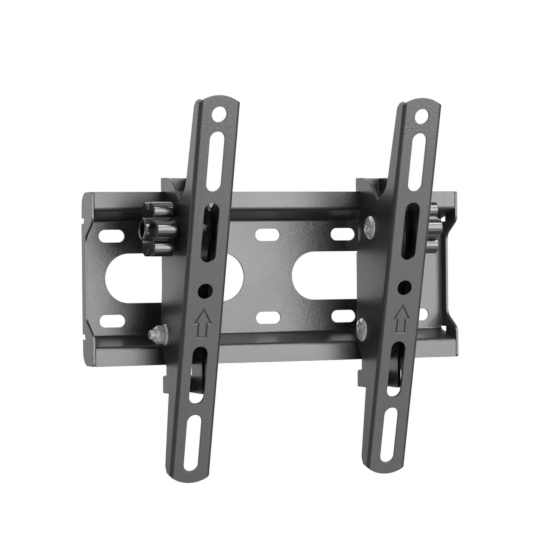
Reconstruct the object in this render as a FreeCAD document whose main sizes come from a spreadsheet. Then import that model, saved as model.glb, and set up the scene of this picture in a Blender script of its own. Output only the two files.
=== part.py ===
import FreeCAD, Part
import math
import os
from types import SimpleNamespace

import Sketcher

# Tilting wall bracket for a flat television: a folded wall plate, two hook brackets that
# hang on its top lip, and two tilting arms, each held by a pivot bolt and a clamp knob.
# Frame: X runs along the wall plate, +Y points into the wall, +Z is up.
# The origin is the centre of the wall plate, on the face that meets the wall.

doc = FreeCAD.newDocument("TiltingWallBracket")
sheet = doc.addObject("Spreadsheet::Sheet", "Sizes")

DRIVING_SIZES = [
    # Wall plate, one folded sheet
    ("plate_width", 237.6, "end flange to end flange"),
    ("plate_height", 102.8, "top lip edge to bottom lip edge"),
    ("plate_sheet", 1.5, "sheet thickness"),
    ("plate_bend", 1.5, "radius inside each fold"),
    ("lip_depth", 22.0, "wall to the front of the lips"),
    ("lip_height", 11.2, "height of each lip"),
    ("web_rise", 5.8, "height that each slanted web takes"),
    ("wall_slot_count", 5, "screw slots in each row"),
    ("wall_slot_margin", 18.8, "plate's end to the last slot's centre"),
    ("wall_slot_length", 16.2, "end to end"),
    ("wall_slot_width", 7.5, "across the slot"),
    ("wall_slot_rows", 50.8, "row to row"),
    ("cutout_gap", 31.4, "between the two large cut-outs"),
    ("cutout_margin", 14.5, "plate's end to the nearer cut-out"),
    ("cutout_height", 29.6, "across the cut-out"),
    ("ear_gap", 0.3, "between a lip's end and the end flange"),
    ("end_bend", 0.3, "radius inside the end folds"),
    ("ear_setback", 0.1, "an ear's rear edge past the end fold"),
    ("ear_corner", 8.5, "radius of an ear's rear corner"),
    ("flange_depth", 7.8, "middle of the end flange"),
    ("flange_straight", 49.0, "height of that narrow stretch"),
    ("flange_curve", 6.0, "radii of the curve between stretch and ear"),
    ("ear_height", 17.9, "front edge of an ear"),
    ("relief_depth", 7.0, "wall to the end of a relief slot, where three folds meet"),
    # Hook bracket, a folded channel
    ("hook_sheet", 2.0, "sheet thickness"),
    ("hook_bend", 0.8, "radius inside the folds"),
    ("hook_width", 18.0, "over the two flanges"),
    ("hook_back", 13.5, "wall to the rear of the web"),
    ("hook_play", 0.2, "clearance between hook and lip"),
    ("hook_drop", 7.4, "prong behind the lip"),
    ("hook_rise", 8.3, "bracket above the lip's edge"),
    ("hook_brow", 26.0, "radius of the top front curve"),
    ("hook_flat", 19.4, "top edge, from the web to the curve's corner"),
    ("hook_slope", 43.0, "fall of the edge after that curve, degrees"),
    ("hook_depth", 40.5, "web to the front edge at the clamp bolt"),
    ("hook_foot_depth", 27.0, "web to the front edge at the foot"),
    ("hook_waist", 22.0, "height where the front edge starts to narrow"),
    ("hook_recess", 5.0, "rear edge cut back under the top lip"),
    ("web_top", 11.5, "height of the middle web's top edge"),
    ("web_bottom", 35.5, "depth of the middle web's bottom edge"),
    ("foot_top", 57.8, "depth of the foot's top edge"),
    ("foot_length", 10.6, "height of the foot"),
    ("foot_cut", 1.8, "fall of the foot's cut corner"),
    ("notch_play", 1.0, "clearance above and below a lip in the bracket's notch"),
    ("front_round", 4.5, "radius of the bracket's front corners"),
    ("edge_round", 1.5, "small rounded corners of the sheets"),
    # Tilting arm, a folded channel
    ("arm_width", 25.0, "over the two flanges"),
    ("arm_sheet", 2.0, "sheet thickness"),
    ("arm_bend", 0.5, "radius inside the folds"),
    ("arm_above", 149.2, "pivot to the top tip"),
    ("arm_below", 83.65, "pivot to the bottom tip"),
    ("arm_tip_rise", 4.4, "height of the arched tips"),
    ("arm_face", 27.2, "pivot to the face that meets the television"),
    ("arm_top_depth", 9.5, "flange at the top end"),
    ("arm_neck_depth", 13.2, "flange above the wing"),
    ("wing_depth", 45.3, "flange at the wing's top corner"),
    ("wing_drop", 1.0, "clamp bolt down to the wing's top corner, along the arm"),
    ("wing_slope", 28.9, "height of the slope above the wing"),
    ("wing_foot_depth", 35.5, "flange at the wing's bottom corner"),
    ("wing_bottom", 9.5, "pivot down to the wing's bottom corner"),
    ("arm_tail_depth", 15.0, "flange below the wing"),
    ("arm_tail", 22.6, "pivot down to the foot of the wing"),
    ("arm_end_depth", 10.5, "flange at the bottom end"),
    ("arm_end_cut", 7.7, "fall of the cut corners at both ends"),
    ("wing_round", 5.0, "radius of the wing's outer corners"),
    ("wing_throat", 14.0, "radius above the wing"),
    ("wing_heel", 6.0, "radius below the wing"),
    ("end_round", 3.0, "radius of the flanges' rear corners at both ends"),
    ("face_hole", 9.2, "round holes in the face"),
    ("face_slot_length", 35.2, "end to end"),
    ("face_slot_pitch", 41.9, "slot to slot along the arm"),
    ("middle_hole", 34.0, "pivot to the middle hole"),
    ("top_hole", 104.2, "middle hole to the top hole"),
    ("upper_slots", 17.2, "middle hole to the first slot above it"),
    ("lower_slots", 33.4, "middle hole to the first slot below it"),
    # Tilt and fasteners
    ("pivot_depth", 32.0, "wall to the pivot"),
    ("pivot_drop", 33.0, "pivot below the plate's centre"),
    ("clamp_span", 63.5, "pivot to clamp bolt, along the arm"),
    ("clamp_setback", 2.6, "clamp bolt behind the pivot, across the arm"),
    ("rest_tilt", 15.0, "forward tilt at rest, degrees, the far end of the range"),
    ("tilt_travel", 6.5, "tilt range back from there, until the knob nears the plate"),
    ("tilt_spare", 0.6, "slot past each end of the range, degrees"),
    ("left_arm", 64.6, "plate's centre to the left arm"),
    ("right_arm", 61.8, "plate's centre to the right arm"),
    ("bolt_size", 6.0, "shank diameter"),
    ("bolt_length", 35.0, "under the head"),
    ("bolt_fit", 0.05, "clearance round a shank in its hole"),
    ("slot_play", 0.4, "clearance round the clamp bolt in its slot"),
    ("head_size", 14.2, "domed head's diameter"),
    ("head_height", 2.8, "domed head's height"),
    ("head_rim", 0.6, "straight rim of the head"),
    ("head_crown", 8.0, "flat on top of the head"),
    ("neck_length", 1.8, "square neck under the head"),
    ("bolt_chamfer", 0.7, "bevel at the shank's end"),
    ("spacer_size", 14.0, "plastic spacer's diameter"),
    ("side_play", 0.05, "clearance beside a spacer or knob"),
    ("nut_flats", 10.0, "locking nut, across flats"),
    ("nut_flange", 12.4, "round flange under the hexagon"),
    ("nut_flange_sheet", 1.2, "thickness of that flange"),
    ("nut_height", 6.0, "flange and hexagon together"),
    ("nut_collar", 1.4, "collar over the hexagon"),
    ("nut_collar_size", 8.6, "collar's diameter"),
    # Clamp knob
    ("knob_lobes", 6, "number of lobes"),
    ("lobe_circle", 12.3, "knob axis to each lobe's axis"),
    ("lobe_radius", 5.2, "radius of a lobe"),
    ("lobe_length", 12.5, "length of the lobes"),
    ("lobe_bevel", 1.2, "bevel at both ends of the lobes"),
    ("knob_turn", 30.0, "turn of the lobes at rest, degrees, one to the front"),
    ("knob_hub", 13.7, "hub diameter"),
    ("knob_root", 2.4, "hub on the arm's side"),
    ("knob_nose", 3.6, "hub on the far side"),
    ("nose_bevel", 0.8, "bevel at the far hub's rim"),
    ("knob_passage", 6.8, "bore past the bolt"),
    ("knob_recess", 8.6, "recess in the far hub"),
    ("knob_recess_depth", 5.5, "depth of that recess"),
    ("insert_size", 9.0, "threaded insert's diameter"),
    ("insert_length", 11.0, "threaded insert's length"),
]

for row, (alias, value, note) in enumerate(DRIVING_SIZES, start=1):
    sheet.set(f"A{row}", alias)
    sheet.set(f"B{row}", str(value))
    sheet.set(f"C{row}", note)
    sheet.setAlias(f"B{row}", alias)
doc.recompute()


class Size:
    """A size kept twice: as a number, and as the sheet formula that gives it."""

    def __init__(self, value, formula):
        self.value = float(value)
        self.formula = formula

    def __add__(self, other):
        other = as_size(other)
        return Size(self.value + other.value, f"({self.formula} + {other.formula})")

    def __sub__(self, other):
        other = as_size(other)
        return Size(self.value - other.value, f"({self.formula} - {other.formula})")

    def __mul__(self, other):
        other = as_size(other)
        return Size(self.value * other.value, f"({self.formula} * {other.formula})")

    def __truediv__(self, other):
        other = as_size(other)
        return Size(self.value / other.value, f"({self.formula} / {other.formula})")

    def __neg__(self):
        return Size(-self.value, f"(0 - {self.formula})")


def as_size(number):
    """A plain number joins a formula as itself."""
    if isinstance(number, Size):
        return number
    return Size(number, repr(float(number)))


def root(square):
    """Square root of a size."""
    return Size(math.sqrt(square.value), f"sqrt({square.formula})")


def sine(angle):
    """Sine of an angle in degrees."""
    return Size(math.sin(math.radians(angle.value)), f"sin({angle.formula} * 1 deg)")


def cosine(angle):
    """Cosine of an angle in degrees."""
    return Size(math.cos(math.radians(angle.value)), f"cos({angle.formula} * 1 deg)")


def angle_of(opposite, adjacent):
    """Angle in degrees of a right triangle with these two sides."""
    degrees = math.degrees(math.atan2(opposite.value, adjacent.value))
    return Size(degrees, f"(atan({opposite.formula} / {adjacent.formula}) / 1 deg)")


def length_of(first, second):
    """Length of the long side of a right triangle."""
    return root(first * first + second * second)


# Each driving size under its own alias, as size.plate_width and so on
size = SimpleNamespace(
    **{alias: Size(sheet.get(alias), f"Sizes.{alias}") for alias, _, _ in DRIVING_SIZES})
ZERO = as_size(0)


def new_body(label):
    """An empty body that carries the piece's own name."""
    body = doc.addObject("PartDesign::Body", label)
    body.Label = label
    return body


def new_sketch(body, name, plane, offset=None):
    """A sketch on one of the body's origin planes, moved along its normal by offset."""
    sketch = body.newObject("Sketcher::SketchObject", name)
    planes = {part.Role: part for part in body.Origin.OriginFeatures}
    sketch.AttachmentSupport = [(planes[plane], "")]
    sketch.MapMode = "FlatFace"
    if offset is not None:
        sketch.setExpression("AttachmentOffset.Base.z", offset.formula)
    return sketch


def hold(sketch, kind, *where, to):
    """A sketch dimension that follows the sheet."""
    index = sketch.addConstraint(Sketcher.Constraint(kind, *where, to.value))
    sketch.setExpression(f"Constraints[{index}]", to.formula)


def hold_point(sketch, edge, end, across, up):
    """Holds one point of an edge at its two distances from the sketch's origin."""
    hold(sketch, "DistanceX", edge, end, to=across)
    hold(sketch, "DistanceY", edge, end, to=up)


def vector(across, up):
    """A sketch point from two sizes."""
    return FreeCAD.Vector(across.value, up.value, 0)


def arc_between(start, end, radius):
    """The short arc from start to end, turning left where the radius is positive."""
    chord = end - start
    reach = math.sqrt(radius * radius - chord.Length ** 2 / 4)
    side = FreeCAD.Vector(-chord.y, chord.x, 0).normalize()
    middle = (start + end) * 0.5 + side * math.copysign(reach, radius)
    first, last = (start, end) if radius > 0 else (end, start)
    circle = Part.Circle(middle, FreeCAD.Vector(0, 0, 1), abs(radius))
    return Part.ArcOfCircle(circle, circle.parameter(first), circle.parameter(last))


def add_outline(sketch, corners):
    """Closed outline through corners (across, up) or (across, up, radius of the arc to it)."""
    first = sketch.GeometryCount
    count = len(corners)
    ends = []
    for index in range(count):
        start = corners[index]
        end = corners[(index + 1) % count]
        turn = end[2] if len(end) > 2 else None
        if turn is None:
            sketch.addGeometry(Part.LineSegment(vector(*start[:2]), vector(*end[:2])))
            ends.append((1, 2))
        else:
            sketch.addGeometry(arc_between(vector(*start[:2]), vector(*end[:2]), turn.value))
            ends.append((1, 2) if turn.value > 0 else (2, 1))
    for index in range(count):
        following = (index + 1) % count
        sketch.addConstraint(Sketcher.Constraint(
            "Coincident", first + index, ends[index][1], first + following, ends[following][0]))
    for index, corner in enumerate(corners):
        hold_point(sketch, first + index, ends[index][0], corner[0], corner[1])
        turn = corners[(index + 1) % count][2:]
        if turn:
            radius = turn[0] if turn[0].value > 0 else -turn[0]
            hold(sketch, "Radius", first + index, to=radius)


def add_circle(sketch, across, up, diameter):
    """Circle held by its centre and diameter."""
    circle = Part.Circle(vector(across, up), FreeCAD.Vector(0, 0, 1), diameter.value / 2)
    index = sketch.addGeometry(circle)
    hold_point(sketch, index, 3, across, up)
    hold(sketch, "Diameter", index, to=diameter)


def add_slot(sketch, across, up, length, width, upright=False):
    """Straight slot with round ends about a centre, lying across the sketch or upright."""
    half = (length - width) / 2
    radius = width / 2
    if upright:
        low, high = (across, up - half), (across, up + half)
        side, start = FreeCAD.Vector(radius.value, 0, 0), 0.0
    else:
        low, high = (across - half, up), (across + half, up)
        side, start = FreeCAD.Vector(0, -radius.value, 0), -math.pi / 2
    normal = FreeCAD.Vector(0, 0, 1)
    first = sketch.GeometryCount
    far = Part.Circle(vector(*high), normal, radius.value)
    near = Part.Circle(vector(*low), normal, radius.value)
    sketch.addGeometry(Part.ArcOfCircle(far, start, start + math.pi))
    sketch.addGeometry(Part.LineSegment(vector(*high) - side, vector(*low) - side))
    sketch.addGeometry(Part.ArcOfCircle(near, start + math.pi, start + 2 * math.pi))
    sketch.addGeometry(Part.LineSegment(vector(*low) + side, vector(*high) + side))
    for index in range(4):
        sketch.addConstraint(Sketcher.Constraint(
            "Tangent", first + index, 2, first + (index + 1) % 4, 1))
    sketch.addConstraint(Sketcher.Constraint("Equal", first, first + 2))
    hold_point(sketch, first, 3, *high)
    hold_point(sketch, first + 2, 3, *low)
    hold(sketch, "Radius", first, to=radius)


def add_curved_slot(sketch, centre, radius, width, from_angle, to_angle):
    """Slot along an arc; angles are counted forward from straight up, in degrees."""
    half = width / 2
    middle = vector(*centre)
    normal = FreeCAD.Vector(0, 0, 1)
    start = math.pi / 2 + math.radians(from_angle.value)
    end = math.pi / 2 + math.radians(to_angle.value)
    first = sketch.GeometryCount
    outer = Part.Circle(middle, normal, (radius + half).value)
    inner = Part.Circle(middle, normal, (radius - half).value)
    sketch.addGeometry(Part.ArcOfCircle(outer, start, end))
    sketch.addGeometry(Part.ArcOfCircle(inner, start, end))
    for angle, turn in ((end, 0), (start, math.pi)):
        spot = middle + FreeCAD.Vector(math.cos(angle), math.sin(angle), 0) * radius.value
        cap = Part.Circle(spot, normal, half.value)
        sketch.addGeometry(Part.ArcOfCircle(cap, angle + turn, angle + turn + math.pi))
    big, small, far, near = first, first + 1, first + 2, first + 3
    for edge, end_of, other, other_end in (
            (big, 2, far, 1), (far, 2, small, 2), (small, 1, near, 1), (near, 2, big, 1)):
        sketch.addConstraint(Sketcher.Constraint("Tangent", edge, end_of, other, other_end))
    sketch.addConstraint(Sketcher.Constraint("Coincident", big, 3, small, 3))
    hold_point(sketch, big, 3, *centre)
    hold(sketch, "Radius", big, to=radius + half)
    hold(sketch, "Radius", small, to=radius - half)
    hold(sketch, "DistanceX", far, 3, to=centre[0] - radius * sine(to_angle))
    hold(sketch, "DistanceX", near, 3, to=centre[0] - radius * sine(from_angle))


def pad(body, name, sketch, length, both_ways=False, reverse=False):
    """Adds the sketch's area, along its normal or to both sides of it."""
    feature = body.newObject("PartDesign::Pad", name)
    feature.Profile = sketch
    feature.SideType = "Symmetric" if both_ways else "One side"
    feature.Reversed = reverse
    feature.setExpression("Length", length.formula)
    doc.recompute()
    return feature


def pocket(body, name, sketch, depth=None, both_ways=False, reverse=False):
    """Cuts the sketch's area away, to a depth or right through, and checks that it cut."""
    before = body.Tip.Shape.Volume
    feature = body.newObject("PartDesign::Pocket", name)
    feature.Profile = sketch
    feature.SideType = "Symmetric" if both_ways else "One side"
    feature.Reversed = reverse
    if depth is None:
        feature.Type = "ThroughAll"
    else:
        feature.setExpression("Length", depth.formula)
    doc.recompute()
    if feature.Shape.Volume > before - 0.01:
        raise ValueError(f"{name} of {body.Label} cuts nothing")
    return feature


def edges_at(shape, direction, spots, longest=None):
    """Names of the straight edges along X, Y or Z at the given spots, up to a length."""
    others = [axis for axis in "xyz" if axis != direction]
    names = []
    for number, edge in enumerate(shape.Edges, start=1):
        if not isinstance(edge.Curve, Part.Line):
            continue
        if abs(getattr(edge.Curve.Direction, direction)) < 0.9999:
            continue
        if longest is not None and edge.Length > longest.value + 0.01:
            continue
        middle = edge.CenterOfMass
        place = [getattr(middle, axis) for axis in others]
        if any(abs(place[0] - a.value) < 0.01 and abs(place[1] - b.value) < 0.01
               for a, b in spots):
            names.append(f"Edge{number}")
    return names


def round_corners(body, name, radius, direction, spots, longest=None):
    """Rounds the straight edges along a direction at the given spots."""
    base = body.Tip
    names = edges_at(base.Shape, direction, spots, longest)
    if not names:
        raise ValueError(f"{name} of {body.Label} finds no edges")
    feature = body.newObject("PartDesign::Fillet", name)
    feature.Base = (base, names)
    feature.setExpression("Radius", radius.formula)
    doc.recompute()


def place(body, across, depth, height, tilt=None):
    """Puts a finished body at its place, tilted forward about X where a tilt is given."""
    body.setExpression("Placement.Base.x", across.formula)
    body.setExpression("Placement.Base.y", depth.formula)
    body.setExpression("Placement.Base.z", height.formula)
    if tilt is not None:
        body.Placement.Rotation = FreeCAD.Rotation(FreeCAD.Vector(1, 0, 0), tilt.value)
        body.setExpression("Placement.Rotation.Angle", f"{tilt.formula} * 1 deg")


# Values that several pieces share
plate_half = size.plate_width / 2
lip_edge = size.plate_height / 2
lip_foot = lip_edge - size.lip_height
lip_back = size.lip_depth - size.plate_sheet
web_foot = lip_foot - size.web_rise
hook_front_plane = size.hook_back + size.hook_depth
arm_half = size.arm_width / 2
hook_half = size.hook_width / 2
arm_front = -size.arm_face
clamp_radius = length_of(size.clamp_span, size.clamp_setback)
clamp_lead = angle_of(size.clamp_setback, size.clamp_span)
clamp_angle = size.rest_tilt - clamp_lead
hole_size = size.bolt_size + size.bolt_fit * 2
spacer_room = arm_half - size.arm_sheet - hook_half
spacer_sheet = spacer_room - size.side_play * 2
knob_start = arm_half + size.side_play


def with_mirrored(spots):
    """Spots above the middle, then their mirror images below it in reverse."""
    return spots + [(depth, -height) for depth, height in reversed(spots)]


def make_wall_plate():
    """Folded wall plate: flat back, slanted webs, lips top and bottom, and end flanges."""
    body = new_body("wall_plate")
    sheet_size = size.plate_sheet
    bend_outside = size.plate_bend + sheet_size

    # A fold's outer corner sits this much further along than its inner corner.
    web_length = length_of(lip_back, size.web_rise)
    miter = sheet_size * (web_length - size.web_rise) / lip_back
    front, back = -sheet_size, ZERO
    lip_front, lip_rear = -size.lip_depth, -lip_back
    upper = [
        (back, web_foot + miter), (lip_rear, lip_foot + miter), (lip_rear, lip_edge),
        (lip_front, lip_edge), (lip_front, lip_foot), (front, web_foot),
    ]
    section = new_sketch(body, "PlateSection", "YZ_Plane")
    add_outline(section, with_mirrored(upper))
    rail_length = size.plate_width - (sheet_size + size.ear_gap) * 2
    pad(body, "PlateRails", section, rail_length, both_ways=True)
    hollow = [(front, web_foot), (lip_rear, lip_foot + miter)]
    crown = [(back, web_foot + miter), (lip_front, lip_foot)]
    round_corners(body, "FoldsInside", size.plate_bend, "x", with_mirrored(hollow))
    round_corners(body, "FoldsOutside", bend_outside, "x", with_mirrored(crown))

    # The flat back runs on to the end flanges between the relief slots.
    end_half = web_foot - size.plate_bend
    relief_top = web_foot + size.plate_bend
    back_sketch = new_sketch(body, "BackOutline", "XZ_Plane")
    add_outline(back_sketch, [
        (-plate_half, -end_half), (plate_half, -end_half),
        (plate_half, end_half), (-plate_half, end_half)])
    pad(body, "Back", back_sketch, sheet_size)

    # End flange: narrow in the middle, with an ear beside each lip above a relief slot
    end_fold = size.end_bend + sheet_size
    ear_rear = -(end_fold + size.ear_setback)
    straight = size.flange_straight / 2
    ear_foot = lip_edge - size.ear_height
    ear = [
        (back, end_half), (-size.relief_depth, end_half),
        (-size.relief_depth, relief_top), (ear_rear, relief_top), (ear_rear, lip_edge),
        (lip_front, lip_edge), (lip_front, ear_foot), (-size.flange_depth, straight),
    ]
    for side, direction in (("Left", -1), ("Right", 1)):
        inner = (plate_half - sheet_size) if direction > 0 else -plate_half
        flange = new_sketch(body, f"{side}FlangeOutline", "YZ_Plane", inner)
        add_outline(flange, with_mirrored(ear))
        pad(body, f"{side}Flange", flange, sheet_size)
    for name, radius, spots in (
            ("EarCorners", size.ear_corner, [(ear_rear, lip_edge)]),
            ("EarTips", size.edge_round, [(lip_front, lip_edge)]),
            ("FlangeCurves", size.flange_curve,
             [(lip_front, ear_foot), (-size.flange_depth, straight)])):
        round_corners(body, name, radius, "x", with_mirrored(spots), longest=sheet_size)
    inner_end = plate_half - sheet_size
    round_corners(body, "EndFoldsInside", size.end_bend, "z",
                  [(inner_end, front), (-inner_end, front)])
    round_corners(body, "EndFoldsOutside", end_fold, "z",
                  [(plate_half, back), (-plate_half, back)])

    cutouts = new_sketch(body, "CutoutOutline", "XZ_Plane")
    cutout_length = plate_half - size.cutout_gap / 2 - size.cutout_margin
    cutout_at = (size.cutout_gap + cutout_length) / 2
    for across in (-cutout_at, cutout_at):
        add_slot(cutouts, across, ZERO, cutout_length, size.cutout_height)
    pocket(body, "Cutouts", cutouts, reverse=True)

    slots = new_sketch(body, "SlotOutline", "XZ_Plane")
    row_length = size.plate_width - size.wall_slot_margin * 2
    for height in (-size.wall_slot_rows / 2, size.wall_slot_rows / 2):
        add_slot(slots, -row_length / 2, height, size.wall_slot_length, size.wall_slot_width)
    first_slots = pocket(body, "FirstSlots", slots, reverse=True)
    rows = body.newObject("PartDesign::LinearPattern", "SlotRows")
    rows.Originals = [first_slots]
    rows.Direction = (slots, ["H_Axis"])
    rows.setExpression("Length", row_length.formula)
    rows.setExpression("Occurrences", size.wall_slot_count.formula)
    body.Tip = rows
    doc.recompute()
    return body


def make_hook_bracket(label, across):
    """Folded channel that hangs on the top lip and carries the arm's pivot."""
    body = new_body(label)
    back = -size.hook_back
    lip_face = -size.lip_depth - size.hook_play
    prong = -lip_back + size.hook_play
    recess = back - size.hook_recess
    top = lip_edge + size.hook_rise
    brow = back - size.hook_flat
    front = -hook_front_plane
    shoulder = top - (brow - front) * sine(size.hook_slope) / cosine(size.hook_slope)
    foot_front = back - size.hook_foot_depth
    foot_bottom = -size.foot_top - size.foot_length
    clear_of_web = size.web_rise / 2
    outline = [
        (back, top), (brow, top), (front, shoulder), (front, size.hook_waist),
        (foot_front, -size.pivot_drop - size.spacer_size / 2), (foot_front, foot_bottom),
        (back, foot_bottom), (back, -size.foot_top - size.foot_cut),
        (recess, -size.foot_top), (lip_face, -size.foot_top),
        (lip_face, -lip_foot + size.notch_play), (back, -size.web_bottom),
        (back, size.web_top), (recess, size.web_top + size.hook_recess),
        (recess, web_foot - clear_of_web), (lip_face, lip_foot - size.notch_play),
        (lip_face, lip_edge + size.hook_play), (prong, lip_edge + size.hook_play),
        (prong, lip_edge - size.hook_drop), (back, lip_edge - size.hook_drop),
    ]
    side = new_sketch(body, "SideOutline", "YZ_Plane")
    add_outline(side, outline)
    pad(body, "Block", side, size.hook_width, both_ways=True)
    round_corners(body, "Brow", size.hook_brow, "x", [(brow, top)])
    round_corners(body, "FrontCorners", size.front_round, "x", [
        (front, shoulder), (front, size.hook_waist), outline[4]])
    round_corners(body, "SmallCorners", size.edge_round, "x", [
        (foot_front, foot_bottom), (recess, -size.foot_top),
        (recess, web_foot - clear_of_web), (lip_face, lip_foot - size.notch_play)])

    # The channel's inside, open at the front
    inner_half = hook_half - size.hook_sheet
    web_front = back - size.hook_sheet
    inside = new_sketch(body, "InsideOutline", "XY_Plane")
    add_outline(inside, [
        (-inner_half, front - size.hook_sheet), (inner_half, front - size.hook_sheet),
        (inner_half, web_front), (-inner_half, web_front)])
    pocket(body, "Inside", inside, both_ways=True)
    round_corners(body, "FoldsInside", size.hook_bend, "z",
                  [(inner_half, web_front), (-inner_half, web_front)])
    round_corners(body, "FoldsOutside", size.hook_bend + size.hook_sheet, "z",
                  [(hook_half, back), (-hook_half, back)])

    # Pivot hole, and the curved slot that the clamp bolt follows
    pivot_hole = new_sketch(body, "PivotOutline", "YZ_Plane")
    add_circle(pivot_hole, -size.pivot_depth, -size.pivot_drop, hole_size)
    pocket(body, "PivotHole", pivot_hole, both_ways=True)
    slot = new_sketch(body, "TiltSlotOutline", "YZ_Plane")
    add_curved_slot(
        slot, (-size.pivot_depth, -size.pivot_drop), clamp_radius,
        size.bolt_size + size.slot_play * 2,
        clamp_angle - size.tilt_travel - size.tilt_spare, clamp_angle + size.tilt_spare)
    pocket(body, "TiltSlot", slot, both_ways=True)
    place(body, across, ZERO, ZERO)
    return body


def make_tilt_arm(label, across, inner_side):
    """Folded channel with the television's holes; its square bolt holes face inner_side."""
    body = new_body(label)
    front = arm_front
    top, bottom = size.arm_above, -size.arm_below
    cut_start = front + size.arm_sheet + size.arm_bend * 2
    wing_top = (front + size.wing_depth, size.clamp_span - size.wing_drop)
    wing_bottom = (front + size.wing_foot_depth, -size.wing_bottom)
    neck = (front + size.arm_neck_depth, wing_top[1] + size.wing_slope)
    heel = (front + size.arm_tail_depth, -size.arm_tail)
    top_rear = (front + size.arm_top_depth, top - size.arm_end_cut)
    bottom_rear = (front + size.arm_end_depth, bottom + size.arm_end_cut)
    side = new_sketch(body, "SideOutline", "YZ_Plane")
    add_outline(side, [
        (front, top), (front, bottom), (cut_start, bottom), bottom_rear, heel,
        wing_bottom, wing_top, neck, top_rear, (cut_start, top)])
    pad(body, "Block", side, size.arm_width, both_ways=True)
    round_corners(body, "WingCorners", size.wing_round, "x", [wing_top, wing_bottom])
    round_corners(body, "WingThroat", size.wing_throat, "x", [neck])
    round_corners(body, "WingHeel", size.wing_heel, "x", [heel])
    round_corners(body, "EndCorners", size.end_round, "x", [top_rear, bottom_rear])
    round_corners(body, "FoldsOutside", size.arm_bend + size.arm_sheet, "z",
                  [(arm_half, front), (-arm_half, front)])

    inner_half = arm_half - size.arm_sheet
    face_rear = front + size.arm_sheet
    open_side = front + size.wing_depth + size.arm_sheet
    inside = new_sketch(body, "InsideOutline", "XY_Plane")
    add_outline(inside, [
        (-inner_half, face_rear), (inner_half, face_rear),
        (inner_half, open_side), (-inner_half, open_side)])
    pocket(body, "Inside", inside, both_ways=True)
    round_corners(body, "FoldsInside", size.arm_bend, "z",
                  [(inner_half, face_rear), (-inner_half, face_rear)])

    # Arched tips: what lies outside the two arcs is cut away
    tip_radius = (arm_half * arm_half + size.arm_tip_rise * size.arm_tip_rise)
    tip_radius = tip_radius / (size.arm_tip_rise * 2)
    beside = arm_half + size.arm_sheet
    for name, tip, turn in (("Top", top, 1), ("Bottom", bottom, -1)):
        shoulder = tip - size.arm_tip_rise * turn
        beyond = tip + size.arm_tip_rise * turn
        arch = new_sketch(body, f"{name}Arch", "XZ_Plane")
        add_outline(arch, [
            (-arm_half, shoulder, tip_radius * turn), (-beside, shoulder), (-beside, beyond),
            (beside, beyond), (beside, shoulder), (arm_half, shoulder)])
        pocket(body, f"{name}Tip", arch, both_ways=True)

    # Holes and slots for the television's screws
    face_holes = new_sketch(body, "FaceHoles", "XZ_Plane", -face_rear)
    middle = size.middle_hole
    add_circle(face_holes, ZERO, middle, size.face_hole)
    add_circle(face_holes, ZERO, middle + size.top_hole, size.face_hole)
    half_slot = size.face_slot_length / 2
    for step in (0, 1):
        for height in (middle + size.upper_slots + half_slot + size.face_slot_pitch * step,
                       middle - size.lower_slots - half_slot - size.face_slot_pitch * step):
            add_slot(face_holes, ZERO, height, size.face_slot_length, size.face_hole,
                     upright=True)
    pocket(body, "FaceOpenings", face_holes, size.arm_sheet * 2, reverse=True)

    # Round holes for the shanks on one flange, square ones for the necks on the other
    round_holes = new_sketch(body, "RoundHoles", "YZ_Plane")
    square_holes = new_sketch(body, "SquareHoles", "YZ_Plane")
    square = hole_size / 2
    for depth, height in ((ZERO, ZERO), (size.clamp_setback, size.clamp_span)):
        add_circle(round_holes, depth, height, hole_size)
        add_outline(square_holes, [
            (depth - square, height - square), (depth + square, height - square),
            (depth + square, height + square), (depth - square, height + square)])
    pocket(body, "ShankHoles", round_holes, reverse=inner_side < 0)
    pocket(body, "NeckHoles", square_holes, reverse=inner_side > 0)
    place(body, across, -size.pivot_depth, -size.pivot_drop, size.rest_tilt)
    return body


def bolt_place(across, clamp):
    """Centre of a bolt's axis between the flanges, for the pivot or the clamp."""
    depth, height = -size.pivot_depth, -size.pivot_drop
    if clamp:
        lean, rise = sine(clamp_angle), cosine(clamp_angle)
        depth = depth - clamp_radius * lean
        height = height + clamp_radius * rise
    return across, depth, height


def place_on_bolt(body, across, clamp):
    """Puts a fastener that lies along X on the pivot's or the clamp's axis."""
    place(body, *bolt_place(across, clamp), tilt=size.rest_tilt)


def revolve(body, kind, name, sketch):
    """Turns the sketch's area about its horizontal axis, as a Revolution or a Groove."""
    feature = body.newObject(f"PartDesign::{kind}", name)
    feature.Profile = sketch
    feature.ReferenceAxis = (sketch, ["H_Axis"])
    feature.Angle = 360
    doc.recompute()
    return feature


def make_bolt(label, across, outer_side, clamp):
    """Domed bolt with a square neck; its shank points to outer_side."""
    body = new_body(label)
    shank = size.bolt_size / 2
    seat = -arm_half
    tip = seat + size.bolt_length
    bevel = size.bolt_chamfer
    head = size.head_size / 2
    crown = seat - size.head_height
    profile = new_sketch(body, "Profile", "XZ_Plane")
    corners = [
        (crown, ZERO), (tip, ZERO), (tip, shank - bevel), (tip - bevel, shank),
        (seat, shank), (seat, head), (seat - size.head_rim, head),
        (crown, size.head_crown / 2)]
    add_outline(profile, [(along * outer_side, up) for along, up in corners])
    revolve(body, "Revolution", "Shank", profile)
    neck = new_sketch(body, "NeckOutline", "YZ_Plane", seat * outer_side)
    add_outline(neck, [(-shank, -shank), (shank, -shank), (shank, shank), (-shank, shank)])
    pad(body, "Neck", neck, size.neck_length, reverse=outer_side < 0)
    place_on_bolt(body, across, clamp)
    return body


def make_ring(label, start, thickness, outside, inside, across, clamp):
    """Flat ring round a bolt, from start along X."""
    body = new_body(label)
    outline = new_sketch(body, "Outline", "YZ_Plane", start)
    add_circle(outline, ZERO, ZERO, outside)
    add_circle(outline, ZERO, ZERO, inside)
    pad(body, "Ring", outline, thickness)
    place_on_bolt(body, across, clamp)
    return body


def bind(target, **formulas):
    """Ties a primitive's properties to sheet formulas."""
    for name, value in formulas.items():
        target.setExpression(name, value.formula)


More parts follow.
